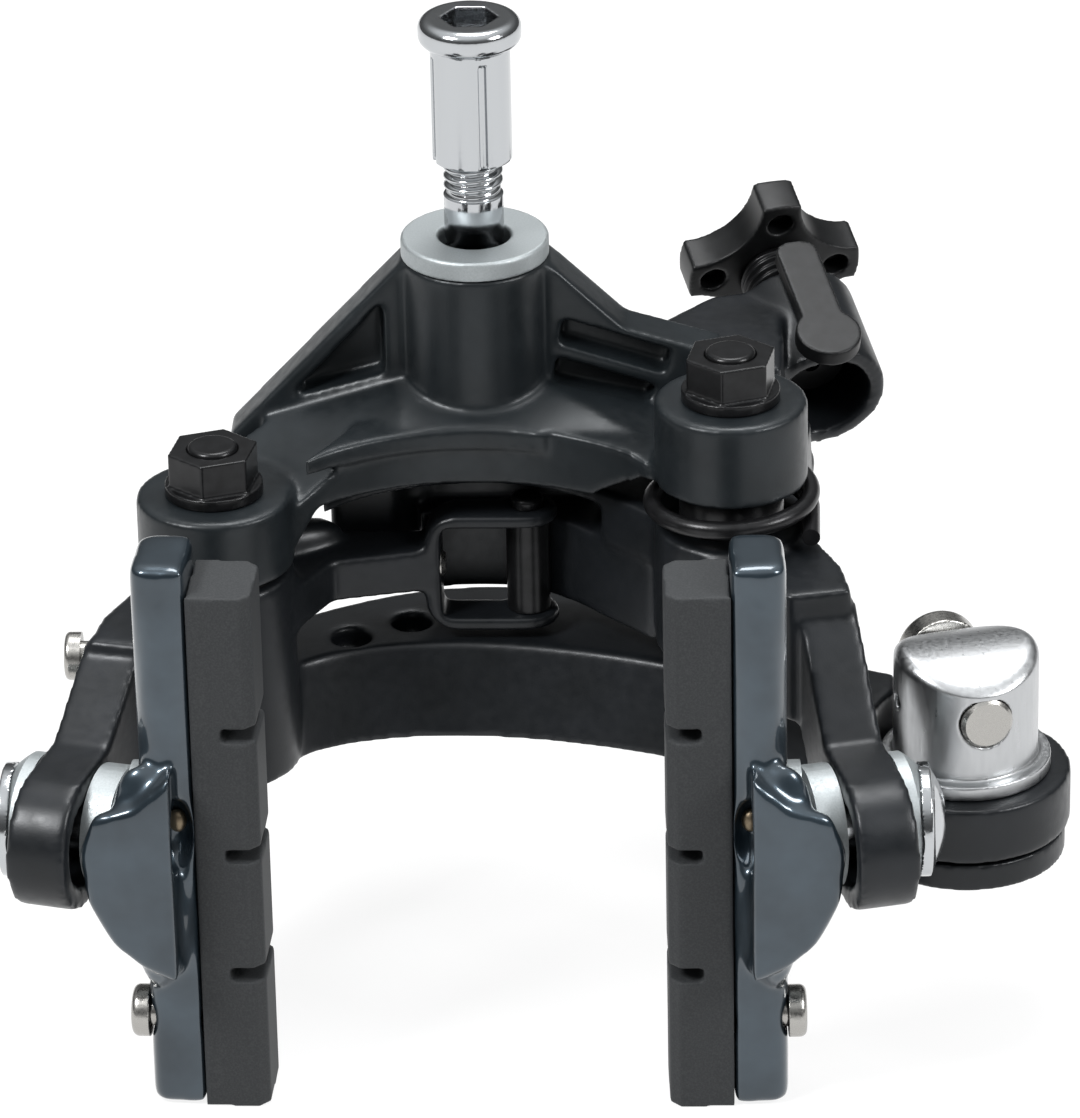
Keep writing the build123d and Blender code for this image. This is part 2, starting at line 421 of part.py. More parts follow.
with BuildPart() as short_arm:
    with BuildSketch(Plane.XY.offset(KNUCKLE_TOP[RIGHT] - PLATE_T)):
        with BuildLine():
            under = Spline(*PLATE_UNDER)
            Line(under @ 1, PLATE_UPPER[0])
            upper = Spline(*PLATE_UPPER)
            Line(upper @ 1, under @ 0)
        make_face()
    extrude(amount=PLATE_T)
    post(pivot_plane(RIGHT, KNUCKLE_BOTTOM[RIGHT]), KNUCKLE_R,
         KNUCKLE_TOP[RIGHT] - KNUCKLE_BOTTOM[RIGHT])
    with BuildSketch(Plane.XY.offset(TRACK_BOTTOM)):
        with BuildLine():
            track = ThreePointArc((-TRACK_HALF, track_end_y), (0, PIVOT_Y + TRACK_R),
                                  (TRACK_HALF, track_end_y))
            Polyline(track @ 1, *TRACK_BODY, track @ 0)
        make_face()
    extrude(amount=TRACK_TOP - TRACK_BOTTOM)
    block(Plane.XY.offset(TRACK_TOP), TRACK_WEB, KNUCKLE_TOP[RIGHT] - TRACK_TOP)
    block(Plane.XY.offset(TRACK_TOP), BACK_WALL, KNUCKLE_TOP[RIGHT] - TRACK_TOP)
    block(Plane.XY.offset(BACK_WALL_BOTTOM), BACK_WALL_END, TRACK_TOP - BACK_WALL_BOTTOM)
    arm_shoulder(RIGHT, -39.0, KNUCKLE_TOP[RIGHT] - 1.0)
    post(pivot_plane(RIGHT, KNUCKLE_BOTTOM[RIGHT]), KNUCKLE_R, -THROUGH / 10, Mode.SUBTRACT)
    arm_end(RIGHT, -26.5, -38.5, 13.5)
    block(Plane.XY.offset(LUG_BOTTOM), LUG_LOW, LUG_SPLIT - LUG_BOTTOM)
    block(Plane.XY.offset(LUG_SPLIT), LUG_HIGH, LUG_TOP - LUG_SPLIT)
    post(facing(STOP_MOUTH, STOP_AXIS), STOP_R, STOP_LENGTH)
    post(facing(STOP_MOUTH + STOP_AXIS * STOP_BORE_DEPTH, STOP_AXIS), STOP_BORE_R, -THROUGH / 4,
         Mode.SUBTRACT)
    post(facing(STOP_MOUTH, STOP_AXIS), SLEEVE_R + RUNNING_GAP, THROUGH / 2, Mode.SUBTRACT)
    with BuildSketch(facing(STOP_MOUTH + STOP_AXIS * STOP_LENGTH, STOP_AXIS)):
        Rectangle(THROUGH, THROUGH)
    extrude(amount=THROUGH / 4, mode=Mode.SUBTRACT)
    post(pivot_plane(RIGHT, KNUCKLE_BOTTOM[RIGHT] - 2), BUSH_R, THROUGH / 2, Mode.SUBTRACT)
    arm_slot(RIGHT)
save(short_arm, "short_arm")

# ---- cable adjuster --------------------------------------------------------------------------
stop_up = (Vector(0, 0, 1) - STOP_AXIS * STOP_AXIS.Z).normalized()

with BuildPart() as adjuster_clip:
    leaf = Plane(origin=STOP_MOUTH + stop_up * (STOP_R + RUNNING_GAP) + STOP_AXIS * (CLIP_LENGTH / 2 - 1),
                 x_dir=STOP_AXIS, z_dir=stop_up)
    with BuildSketch(leaf):
        RectangleRounded(CLIP_LENGTH, CLIP_W, CLIP_ROUND)
        with Locations((CLIP_TAB_R - CLIP_LENGTH / 2 - 1, 0)):
            Circle(CLIP_TAB_R)
    extrude(amount=CLIP_T)
save(adjuster_clip, "adjuster_clip")

with BuildPart() as adjuster_sleeve:
    post(facing(STOP_MOUTH + STOP_AXIS * SLEEVE_START, STOP_AXIS), SLEEVE_R, SLEEVE_END - SLEEVE_START)
    post(facing(STOP_MOUTH + STOP_AXIS * SLEEVE_END, STOP_AXIS), HOUSING_R, -HOUSING_DEPTH, Mode.SUBTRACT)
    post(facing(STOP_MOUTH, STOP_AXIS), CABLE_R, THROUGH / 2, Mode.SUBTRACT)
save(adjuster_sleeve, "adjuster_sleeve")

with BuildPart() as adjuster_knob:
    knob_plane = Plane(origin=STOP_MOUTH + STOP_AXIS * KNOB_AT, x_dir=stop_up, z_dir=STOP_AXIS)
    with BuildSketch(knob_plane):
        Circle(KNOB_TIP_R)
        with PolarLocations(KNOB_TIP_R + 3.6, KNOB_LOBES, start_angle=180 / KNOB_LOBES):
            Circle(KNOB_SCALLOP_R, mode=Mode.SUBTRACT)
        Circle(SLEEVE_R + RUNNING_GAP, mode=Mode.SUBTRACT)
    extrude(amount=KNOB_T)
    with BuildSketch(knob_plane):
        with PolarLocations(KNOB_TIP_R - 2.6, KNOB_LOBES):
            Circle(KNOB_RECESS_R)
    extrude(amount=KNOB_RECESS_DEPTH, mode=Mode.SUBTRACT)
save(adjuster_knob, "adjuster_knob")

# ---- cable anchor and quick release ----------------------------------------------------------
ring_top = Plane((RING_X, RING_Y, RING_BACK + RUNNING_GAP))
clamp_dir = Vector(-sin(radians(CLAMP_ANGLE)), cos(radians(CLAMP_ANGLE)), 0)
clamp_mid = Vector(RING_X, RING_Y, CLAMP_Z)
cable_dir = Vector(clamp_dir.Y, -clamp_dir.X, 0)
clamp_gap = CABLE_R + 0.2

with BuildPart() as cable_anchor:
    post(ring_top, ANCHOR_FLANGE_R, ANCHOR_FLANGE_T)
    post(ring_top, ANCHOR_R, ANCHOR_TOP - RING_BACK - RUNNING_GAP)
    fillet(cable_anchor.edges().sort_by(Axis.Z)[-1], ANCHOR_ROUND)
    post(ring_top, STUD_HOLE_R, 6.0, Mode.SUBTRACT)
    post(facing(clamp_mid - clamp_dir * (THROUGH / 4), clamp_dir), CLAMP_R, THROUGH / 2, Mode.SUBTRACT)
    post(facing(clamp_mid - cable_dir * (THROUGH / 4), cable_dir), CABLE_R, THROUGH / 2, Mode.SUBTRACT)
save(cable_anchor, "cable_anchor")

with BuildPart() as clamp_seat:
    post(facing(clamp_mid - clamp_dir * clamp_gap, clamp_dir * -1), CLAMP_R - RUNNING_GAP, ANCHOR_R - CABLE_R)
    chamfer(clamp_seat.edges().sort_by(Axis.Y)[0], 0.3)
save(clamp_seat, "clamp_seat")

with BuildPart() as clamp_bolt:
    post(facing(clamp_mid + clamp_dir * clamp_gap, clamp_dir), CLAMP_R - RUNNING_GAP, ANCHOR_R)
    post(facing(clamp_mid + clamp_dir * (ANCHOR_R + 0.2), clamp_dir), CLAMP_HEAD_R, CLAMP_HEAD_H)
    fillet(clamp_bolt.edges().sort_by(Axis.Y)[-1], 0.8)
    hexagon(facing(clamp_mid + clamp_dir * (ANCHOR_R + 0.2 + CLAMP_HEAD_H), clamp_dir * -1), 4.0, 2.0,
            Mode.SUBTRACT)
save(clamp_bolt, "clamp_bolt")

with BuildPart() as release_lever:
    hub_plane = Plane((RING_X, RING_Y, RING_FRONT - HUB_GAP - HUB_T))
    post(hub_plane, HUB_R, HUB_T)
    with BuildSketch(hub_plane):
        with Locations((-3.0, LEVER_LENGTH / 2)):
            RectangleRounded(LEVER_W, LEVER_LENGTH, LEVER_ROUND)
    extrude(amount=LEVER_T)
    post(hub_plane, STUD_HOLE_R, HUB_T, Mode.SUBTRACT)
save(release_lever, "release_lever")

with BuildPart() as release_screw:
    under_hub = Plane((RING_X, RING_Y, RING_FRONT - HUB_GAP - HUB_T - RUNNING_GAP))
    post(under_hub, RELEASE_HEAD_R, -RELEASE_HEAD_H)
    chamfer(release_screw.edges().sort_by(Axis.Z)[0], 0.5)
    post(under_hub, STUD_R, RELEASE_LENGTH)
save(release_screw, "release_screw")

# ---- shoes: the right-hand pieces, then their mirror images --------------------------------
pad_out = outward(RIGHT, PAD_LEAN)
pad_up = Vector(-sin(radians(PAD_LEAN)), cos(radians(PAD_LEAN)), 0)
seat_mid = SEAT_MID[RIGHT]
pad_half = PAD_H / 2


def shoe_plane(z):
    """Across the shoe at height z: x away from the rim, y up the pad, origin on the pad's face."""
    return Plane(origin=(PAD_FACE_X, PAD_Y, z), x_dir=pad_out, z_dir=(0, 0, 1))


def turning_plane(axis):
    """The half plane through the middle of the seat in which turned profiles are drawn."""
    return Plane(origin=seat_mid, x_dir=axis, z_dir=axis.cross(Vector(0, 0, 1)))


def on_sphere(sphere_r, radius):
    """The point of a sphere about the seat's middle at this distance from the turning axis."""
    return (sqrt(sphere_r**2 - radius**2), radius)


def sphere_arc(sphere_r, radius_from, radius_to):
    """An arc of that sphere, drawn in a turning plane."""
    between = (radius_from + radius_to) / 2
    return ThreePointArc(on_sphere(sphere_r, radius_from), on_sphere(sphere_r, between),
                         on_sphere(sphere_r, radius_to))


def seat_washer(axis, sphere_r, bore, radius):
    """A washer, flat on the arm and domed towards the bolt's head or the holder."""
    with BuildSketch(turning_plane(axis)) as profile:
        with BuildLine():
            domed = sphere_arc(sphere_r, radius, bore)
            flat = SEAT_T / 2 + RUNNING_GAP
            Polyline(domed @ 1, (flat, bore), (flat, radius), domed @ 0)
        make_face()
    revolve(profile.sketch, axis=Axis(seat_mid, axis))


with BuildPart() as seat_washers_right:
    seat_washer(outward(RIGHT, SEAT_LEAN), OUTER_SPHERE_R, OUTER_SEAT_BORE, OUTER_SEAT_R)
    seat_washer(outward(RIGHT, SEAT_LEAN) * -1, INNER_SPHERE_R, INNER_SEAT_BORE, INNER_SEAT_R)

with BuildPart() as cup_washer_right:
    inward = pad_out * -1
    with BuildSketch(turning_plane(inward)):
        with BuildLine():
            cupped = sphere_arc(INNER_SPHERE_R + SPHERE_GAP, CUP_BORE, INNER_SEAT_R)
            Polyline(cupped @ 1, (CUP_BACK, INNER_SEAT_R), (CUP_BACK, CUP_BORE), cupped @ 0)
        make_face()
    revolve(axis=Axis(seat_mid, inward))

with BuildPart() as shoe_bolt_right:
    with BuildSketch(turning_plane(pad_out)):
        with BuildLine():
            cupped = sphere_arc(OUTER_SPHERE_R + SPHERE_GAP, SHOE_BOLT_R, SHOE_FLANGE_R)
            Polyline(cupped @ 1, (SHOE_FLANGE_FACE, SHOE_FLANGE_R), (SHOE_FLANGE_FACE + 0.3, SHOE_DOME_R))
            crown = ThreePointArc((SHOE_FLANGE_FACE + 0.3, SHOE_DOME_R), (SHOE_HEAD_TOP - 0.5, SHOE_DOME_R / 2),
                                  (SHOE_HEAD_TOP, 0))
            Polyline(crown @ 1, (-CUP_BACK - SHOE_BOLT_REACH, 0), (-CUP_BACK - SHOE_BOLT_REACH, SHOE_BOLT_R),
                     cupped @ 0)
        make_face()
    revolve(axis=Axis(seat_mid, pad_out))
    hexagon(facing(seat_mid + pad_out * (SHOE_HEAD_TOP - SHOE_SOCKET_DEPTH), pad_out), SHOE_SOCKET_AF,
            SHOE_SOCKET_DEPTH, Mode.SUBTRACT)

with BuildPart() as pad_right:
    with BuildSketch(shoe_plane(PAD_BOTTOM)):
        Polygon((PAD_BEVEL, -pad_half), (PAD_T, -pad_half), (PAD_T, pad_half), (PAD_BEVEL, pad_half),
                (0, pad_half - PAD_BEVEL), (0, PAD_BEVEL - pad_half), align=None)
    extrude(amount=PAD_TOP - PAD_BOTTOM)
    for step in (-1, 0, 1):
        z = (PAD_TOP + PAD_BOTTOM) / 2 + step * GROOVE_PITCH
        with BuildSketch(shoe_plane(z - GROOVE_W / 2)):
            with Locations((GROOVE_DEPTH / 2, 0)):
                Rectangle(GROOVE_DEPTH, PAD_H)
        extrude(amount=GROOVE_W, mode=Mode.SUBTRACT)

# outlines in the holder's own axes: x away from the rim, y upwards in Z
WING = [(8.0, -34.0), (PAD_T + HOLDER_T, -37.5), (15.6, -38.5), (17.2, -42.5), (16.6, -48.0),
        (14.4, -52.5), (PAD_T + HOLDER_T, -55.0), (8.0, -57.0)]
screw_at = Vector(PAD_FACE_X, PAD_Y, PAD_SCREW_AT[1]) + pad_up * PAD_SCREW_AT[0]

with BuildPart() as holder_right:
    back = PAD_T + HOLDER_T
    with BuildSketch(shoe_plane(PAD_BOTTOM)):
        Polygon((PAD_T, -pad_half), (back - HOLDER_EDGE, -pad_half), (back, HOLDER_EDGE - pad_half),
                (back, pad_half - HOLDER_EDGE), (back - HOLDER_EDGE, pad_half), (PAD_T, pad_half), align=None)
    extrude(amount=HOLDER_TOP - PAD_BOTTOM)
    wing_plane = Plane(origin=Vector(PAD_FACE_X, PAD_Y, 0) - pad_up * pad_half, x_dir=pad_out,
                       z_dir=pad_up * -1)
    block(wing_plane.offset(WING_DROP), WING, WING_T)
    block(wing_plane.offset(-WING_ROOT), [(min(x, back), z) for x, z in WING], WING_ROOT + WING_DROP)
    post(facing(seat_mid - pad_out * (CUP_BACK + RUNNING_GAP), pad_out), INNER_SEAT_R + 0.5, THROUGH / 10,
         Mode.SUBTRACT)
    post(facing(seat_mid - pad_out * (CUP_BACK + 8), pad_out), SHOE_BOLT_R + RUNNING_GAP, THROUGH / 4,
         Mode.SUBTRACT)
    post(facing(screw_at, pad_out), PAD_SCREW_R, THROUGH / 4, Mode.SUBTRACT)

with BuildPart() as pad_screw_right:
    post(facing(screw_at + pad_out * (PAD_T + 0.4), pad_out), PAD_SCREW_R, HOLDER_T)
    post(facing(screw_at + pad_out * (PAD_T + HOLDER_T), pad_out), PAD_SCREW_HEAD_R, PAD_SCREW_HEAD_H)
    fillet(pad_screw_right.edges().sort_by(Axis.X)[-1], 0.7)
    hexagon(facing(screw_at + pad_out * (PAD_T + HOLDER_T + PAD_SCREW_HEAD_H - 1.2), pad_out), 2.0, 1.2,
            Mode.SUBTRACT)

for right_piece, kind in ((seat_washers_right, "seat_washers"), (cup_washer_right, "cup_washer"),
                          (shoe_bolt_right, "shoe_bolt"), (pad_right, "pad"), (holder_right, "holder"),
                          (pad_screw_right, "pad_screw")):
    save(right_piece, f"{kind}_right")
    with BuildPart() as left_piece:
        mirror(right_piece.part, about=Plane.YZ)
    save(left_piece, f"{kind}_left")
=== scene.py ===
import json
import math

import bmesh
import bpy
from mathutils import Matrix, Vector


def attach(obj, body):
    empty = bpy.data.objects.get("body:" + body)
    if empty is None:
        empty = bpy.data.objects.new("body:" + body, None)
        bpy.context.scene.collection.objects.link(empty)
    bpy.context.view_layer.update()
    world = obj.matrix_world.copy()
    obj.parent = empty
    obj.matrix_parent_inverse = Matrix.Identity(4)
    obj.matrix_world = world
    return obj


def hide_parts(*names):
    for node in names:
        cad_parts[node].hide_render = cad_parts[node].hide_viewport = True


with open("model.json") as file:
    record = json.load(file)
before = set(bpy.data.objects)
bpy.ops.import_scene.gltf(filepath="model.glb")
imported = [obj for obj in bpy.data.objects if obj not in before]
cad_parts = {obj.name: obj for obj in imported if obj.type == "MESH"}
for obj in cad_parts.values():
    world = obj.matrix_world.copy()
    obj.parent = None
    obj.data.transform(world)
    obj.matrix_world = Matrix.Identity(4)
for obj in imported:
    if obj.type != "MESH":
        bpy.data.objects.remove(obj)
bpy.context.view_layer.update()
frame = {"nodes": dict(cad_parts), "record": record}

# A dual-pivot rim brake caliper. Sizes are in millimetres and go through MM into metres.
# +Z runs out of the back along the mounting bolt, +X is the cable side, +Y is away from the tyre.
MM = 0.001
LEFT, RIGHT = -1, 1

# ---- the view ------------------------------------------------------------------------------
AIM = Vector((6.5, -14.3, -29.2)) * MM
DISTANCE = 700 * MM
ELEVATION, AZIMUTH, ROLL = 26.5, 2.5, 1.2
LENS, SENSOR = 225.4, 36.0
FLOOR_Z = -72.6 * MM


def add_camera():
    """A long lens from the tyre side, looking down on the caliper's back."""
    tilt, turn, roll = (math.radians(angle) for angle in (ELEVATION, AZIMUTH, ROLL))
    forward = Vector((-math.sin(turn) * math.cos(tilt), math.cos(turn) * math.cos(tilt), -math.sin(tilt)))
    right = Vector((math.cos(turn), math.sin(turn), 0))
    up = right.cross(forward)
    rolled_right = math.cos(roll) * right - math.sin(roll) * up
    rolled_up = math.sin(roll) * right + math.cos(roll) * up
    camera = bpy.data.objects.new("camera", bpy.data.cameras.new("camera"))
    camera.data.lens = LENS
    camera.data.sensor_width = SENSOR
    camera.data.clip_start, camera.data.clip_end = 0.05, 10
    axes = Matrix((rolled_right, rolled_up, -forward)).transposed().to_4x4()
    camera.matrix_world = Matrix.Translation(AIM - forward * DISTANCE) @ axes
    bpy.context.collection.objects.link(camera)
    bpy.context.scene.camera = camera


def add_area_light(name, place, aim, size, power):
    """A soft square lamp at place, in millimetres, pointing at aim."""
    lamp = bpy.data.lights.new(name, "AREA")
    lamp.shape = "SQUARE"
    lamp.size = size * MM
    lamp.energy = power
    holder = bpy.data.objects.new(name, lamp)
    holder.location = Vector(place) * MM
    holder.rotation_mode = "QUATERNION"
    holder.rotation_quaternion = (Vector(aim) * MM - holder.location).to_track_quat("-Z", "Y")
    bpy.context.collection.objects.link(holder)


# the sky, from the horizon to the zenith: (height, brightness)
SKY = [(0.0, 0.08), (0.3, 0.12), (0.52, 0.26), (0.75, 0.8), (1.0, 1.1)]
SKY_TINT = (0.97, 0.99)
# half the table's width in metres, its glow, and the point in millimetres that every lamp aims at
FLOOR_HALF, FLOOR_GLOW = 3.0, 0.86
STUDIO_AIM = (0, -20, -30)


def add_sky():
    """A room that is dim at eye level and bright overhead, so that glossy edges have something to show."""
    world = bpy.data.worlds.new("studio")
    world.use_nodes = True
    nodes, links = world.node_tree.nodes, world.node_tree.links
    direction = nodes.new("ShaderNodeTexCoord")
    split = nodes.new("ShaderNodeSeparateXYZ")
    ramp = nodes.new("ShaderNodeValToRGB")
    while len(ramp.color_ramp.elements) < len(SKY):
        ramp.color_ramp.elements.new(1.0)
    for element, (height, brightness) in zip(ramp.color_ramp.elements, SKY):
        element.position = height
        element.color = (brightness * SKY_TINT[0], brightness * SKY_TINT[1], brightness, 1)
    links.new(direction.outputs["Generated"], split.inputs["Vector"])
    links.new(split.outputs["Z"], ramp.inputs["Fac"])
    links.new(ramp.outputs["Color"], nodes["Background"].inputs["Color"])
    bpy.context.scene.world = world


def add_floor():
    """A white table that glows a little, so that it stays white under the dim sky."""
    mesh = bpy.data.meshes.new("floor")
    around = ((-1, -1), (1, -1), (1, 1), (-1, 1))
    corners = [(x * FLOOR_HALF, y * FLOOR_HALF, FLOOR_Z) for x, y in around]
    mesh.from_pydata(corners, [], [(0, 1, 2, 3)])
    floor = bpy.data.objects.new("floor", mesh)
    bpy.context.collection.objects.link(floor)
    paint = new_material("floor_white", (0.16, 0.16, 0.16), 0.9, Specular_IOR_Level=0.0,
                         Emission_Strength=FLOOR_GLOW)
    paint.node_tree.nodes["Principled BSDF"].inputs["Emission Color"].default_value = (1, 1, 1, 1)
    mesh.materials.append(paint)


def add_studio():
    """The sky, the table and three soft boxes."""
    bpy.context.scene.view_settings.view_transform = "Standard"
    add_sky()
    add_floor()
    add_area_light("key", (-320, -260, 420), STUDIO_AIM, 160, 3.2)
    add_area_light("fill", (420, -200, 260), STUDIO_AIM, 160, 1.6)
    add_area_light("top", (40, 160, 520), STUDIO_AIM, 260, 2.2)


# ---- materials -----------------------------------------------------------------------------
def new_material(name, color, roughness, metallic=0.0, **constant):
    """A principled material; constant holds sockets set once, by their names with _ for spaces."""
    material = bpy.data.materials.new(name)
    material.use_nodes = True
    shader = material.node_tree.nodes["Principled BSDF"]
    shader.inputs["Base Color"].default_value = (*color, 1)
    shader.inputs["Roughness"].default_value = roughness
    shader.inputs["Metallic"].default_value = metallic
    for socket, value in constant.items():
        shader.inputs[socket.replace("_", " ")].default_value = value
    return material


def noise(material, scale, detail=4.0, stretch=(1, 1, 1)):
    """Object-space noise: scale counts features per metre, stretched along the axes."""
    nodes, links = material.node_tree.nodes, material.node_tree.links
    coordinates = nodes.new("ShaderNodeTexCoord")
    mapping = nodes.new("ShaderNodeMapping")
    mapping.inputs["Scale"].default_value = stretch
    texture = nodes.new("ShaderNodeTexNoise")
    texture.inputs["Scale"].default_value = scale
    texture.inputs["Detail"].default_value = detail
    links.new(coordinates.outputs["Object"], mapping.inputs["Vector"])
    links.new(mapping.outputs["Vector"], texture.inputs["Vector"])
    return texture.outputs["Fac"]


def vary_color(material, factor, dark, light, low=0.3, high=0.7):
    """The base colour runs from dark to light with factor."""
    nodes, links = material.node_tree.nodes, material.node_tree.links
    ramp = nodes.new("ShaderNodeValToRGB")
    ramp.color_ramp.elements[0].position = low
    ramp.color_ramp.elements[0].color = (*dark, 1)
    ramp.color_ramp.elements[1].position = high
    ramp.color_ramp.elements[1].color = (*light, 1)
    links.new(factor, ramp.inputs["Fac"])
    links.new(ramp.outputs["Color"], nodes["Principled BSDF"].inputs["Base Color"])


def vary_roughness(material, factor, low, high):
    """The roughness runs from low to high with factor."""
    nodes, links = material.node_tree.nodes, material.node_tree.links
    spread = nodes.new("ShaderNodeMapRange")
    spread.inputs["From Min"].default_value = 0.3
    spread.inputs["From Max"].default_value = 0.7
    spread.inputs["To Min"].default_value = low
    spread.inputs["To Max"].default_value = high
    links.new(factor, spread.inputs["Value"])
    links.new(spread.outputs["Result"], nodes["Principled BSDF"].inputs["Roughness"])


def bump(material, factor, depth, strength=1.0):
    """Surface relief of depth metres, read from factor."""
    nodes, links = material.node_tree.nodes, material.node_tree.links
    relief = nodes.new("ShaderNodeBump")
    relief.inputs["Strength"].default_value = strength
    relief.inputs["Distance"].default_value = depth
    links.new(factor, relief.inputs["Height"])
    links.new(relief.outputs["Normal"], nodes["Principled BSDF"].inputs["Normal"])


def satin_black(name, dark, light, roughness):
    """Anodised forging: fine blasted grain under a soft blue-grey sheen."""
    material = new_material(name, dark, roughness, metallic=0.3, Specular_IOR_Level=0.45)
    vary_color(material, noise(material, 160, 3), dark, light)
    vary_roughness(material, noise(material, 900), roughness - 0.04, roughness + 0.05)
    bump(material, noise(material, 5200, 2), 0.02 * MM, 0.3)
    return material


def glossy_holder():
    """Dark metallic blue-grey lacquer with a clear coat."""
    material = new_material("holder_blue_grey", (0.03, 0.045, 0.06), 0.3, metallic=0.7,
                            Coat_Weight=1.0, Coat_Roughness=0.06, Specular_IOR_Level=0.5)
    vary_color(material, noise(material, 150, 3), (0.02, 0.032, 0.043), (0.04, 0.06, 0.078))
    bump(material, noise(material, 7000, 2), 0.008 * MM, 0.25)
    return material


def pad_rubber():
    """Dark grey moulding rubber with a fine lighter speckle."""
    material = new_material("pad_rubber", (0.03, 0.032, 0.034), 0.66, Specular_IOR_Level=0.3)
    vary_color(material, noise(material, 5200, 6), (0.024, 0.026, 0.028), (0.036, 0.038, 0.04), 0.4, 0.68)
    bump(material, noise(material, 6000, 3), 0.02 * MM, 0.4)
    return material


def plain_metal(name, color, roughness, grain=3000, stretch=(1, 1, 1)):
    """Bare metal with a faint grain."""
    material = new_material(name, color, roughness, metallic=1.0)
    vary_roughness(material, noise(material, grain, 3, stretch), roughness * 0.8, roughness * 1.25)
    bump(material, noise(material, grain * 1.7, 2, stretch), 0.004 * MM, 0.07)
    return material


def black_steel(name, color, roughness):
    """Black oxide on steel, mottled."""
    material = new_material(name, color, roughness, metallic=0.5, Specular_IOR_Level=0.5)
    dark = tuple(channel * 0.7 for channel in color)
    light = tuple(channel * 1.5 for channel in color)
    vary_color(material, noise(material, 700, 4), dark, light)
    bump(material, noise(material, 3200, 2), 0.01 * MM, 0.2)
    return material


def make_materials():
    """One material for every slot of the record, by the slot's name; colours are linear."""
    return {
        "bridge_black": satin_black("bridge_black", (0.009, 0.0118, 0.0138), (0.014, 0.018, 0.021), 0.36),
        "arm_black": satin_black("arm_black", (0.007, 0.0085, 0.01), (0.012, 0.014, 0.017), 0.36),
        "holder_blue_grey": glossy_holder(),
        "pad_rubber": pad_rubber(),
        "chrome": plain_metal("chrome", (0.5, 0.515, 0.53), 0.14),
        "stainless": plain_metal("stainless", (0.42, 0.41, 0.39), 0.28),
        "satin_aluminium": plain_metal("satin_aluminium", (0.5, 0.51, 0.52), 0.34, 2400, (1, 1, 0.15)),
        "washer_grey": plain_metal("washer_grey", (0.42, 0.45, 0.46), 0.55, 5200),
        "bronze": plain_metal("bronze", (0.2, 0.16, 0.11), 0.4),
        "black_oxide": black_steel("black_oxide", (0.009, 0.0092, 0.01), 0.28),
        "spring_black": black_steel("spring_black", (0.012, 0.012, 0.013), 0.3),
        "black_plastic": black_steel("black_plastic", (0.006, 0.0064, 0.007), 0.42),
    }


# ---- mesh tools ----------------------------------------------------------------------------
WELD = 0.002 * MM
LUMP_SEGMENTS, LUMP_RINGS = 32, 20
SOFTEN_FACTOR = 0.5
# a thread's rings to a pitch, points to a ring, the steepness of its flanks and of its run-out
THREAD_STEPS, THREAD_SIDES, THREAD_FLANK, THREAD_RUNOUT = 10, 64, 2.6, 1.5


def add_piece(name, mesh, body, nodes, slot):
    """Put a finished mesh in the scene, riding on body in place of the CAD nodes."""
    piece = bpy.data.objects.new(name, mesh)
    bpy.context.collection.objects.link(piece)
    mesh.materials.clear()
    mesh.materials.append(MATERIALS[slot])
    for polygon in mesh.polygons:
        polygon.use_smooth = True
    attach(piece, body)
    if nodes:
        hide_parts(*nodes)


def cad_sculpt(node):
    """A CAD node's surface, welded, ready to be worked on."""
    sculpt = bmesh.new()
    sculpt.from_mesh(frame["nodes"][node].data)
    bmesh.ops.remove_doubles(sculpt, verts=sculpt.verts, dist=WELD)
    return sculpt


def finished(sculpt, name):
    """Turn a sculpt into a mesh."""
    mesh = bpy.data.meshes.new(name)
    sculpt.to_mesh(mesh)
    sculpt.free()
    return mesh


def lump(sculpt, place, radii, turn=0.0):
    """Add an ellipsoid, in millimetres, turned about Z by turn degrees."""
    matrix = Matrix.Translation(Vector(place) * MM) @ Matrix.Rotation(math.radians(turn), 4, "Z")
    scale = Matrix.Diagonal((*(radius * MM for radius in radii), 1))
    bmesh.ops.create_uvsphere(sculpt, u_segments=LUMP_SEGMENTS, v_segments=LUMP_RINGS, radius=1.0,
                              matrix=matrix @ scale)


def add_remesh(worker, voxel):
    """Rebuild the worker's surface from even cubes."""
    remesh = worker.modifiers.new("remesh", "REMESH")
    remesh.mode = "VOXEL"
    remesh.voxel_size = voxel * MM


def forged(sculpt, name, voxel, rounds, hollow=None):
    """A sculpt remeshed evenly and smoothed, so that its edges run soft; hollow is carved out first."""
    mesh = finished(sculpt, name)
    worker = bpy.data.objects.new("worker", mesh)
    bpy.context.collection.objects.link(worker)
    cutter = None
    add_remesh(worker, voxel)
    if hollow:
        cutter = bpy.data.objects.new("cutter", finished(hollow, "cutter"))
        bpy.context.collection.objects.link(cutter)
        carve = worker.modifiers.new("carve", "BOOLEAN")
        carve.operation = "DIFFERENCE"
        carve.object = cutter
        add_remesh(worker, voxel)
    soften = worker.modifiers.new("soften", "SMOOTH")
    soften.factor = SOFTEN_FACTOR
    soften.iterations = rounds
    result = bpy.data.meshes.new_from_object(worker.evaluated_get(bpy.context.evaluated_depsgraph_get()))
    for helper in (worker, cutter):
        if helper:
            bpy.data.objects.remove(helper)
    return result


def turned_rows(sculpt, rows, matrix):
    """Skin a stack of closed rings of points, in millimetres along local Z, placed by matrix."""
    rings = [[sculpt.verts.new(matrix @ (Vector(point) * MM)) for point in row] for row in rows]
    for lower, upper in zip(rings, rings[1:]):
        for index in range(len(lower)):
            after = (index + 1) % len(lower)
            sculpt.faces.new((lower[index], lower[after], upper[after], upper[index]))
    return rings


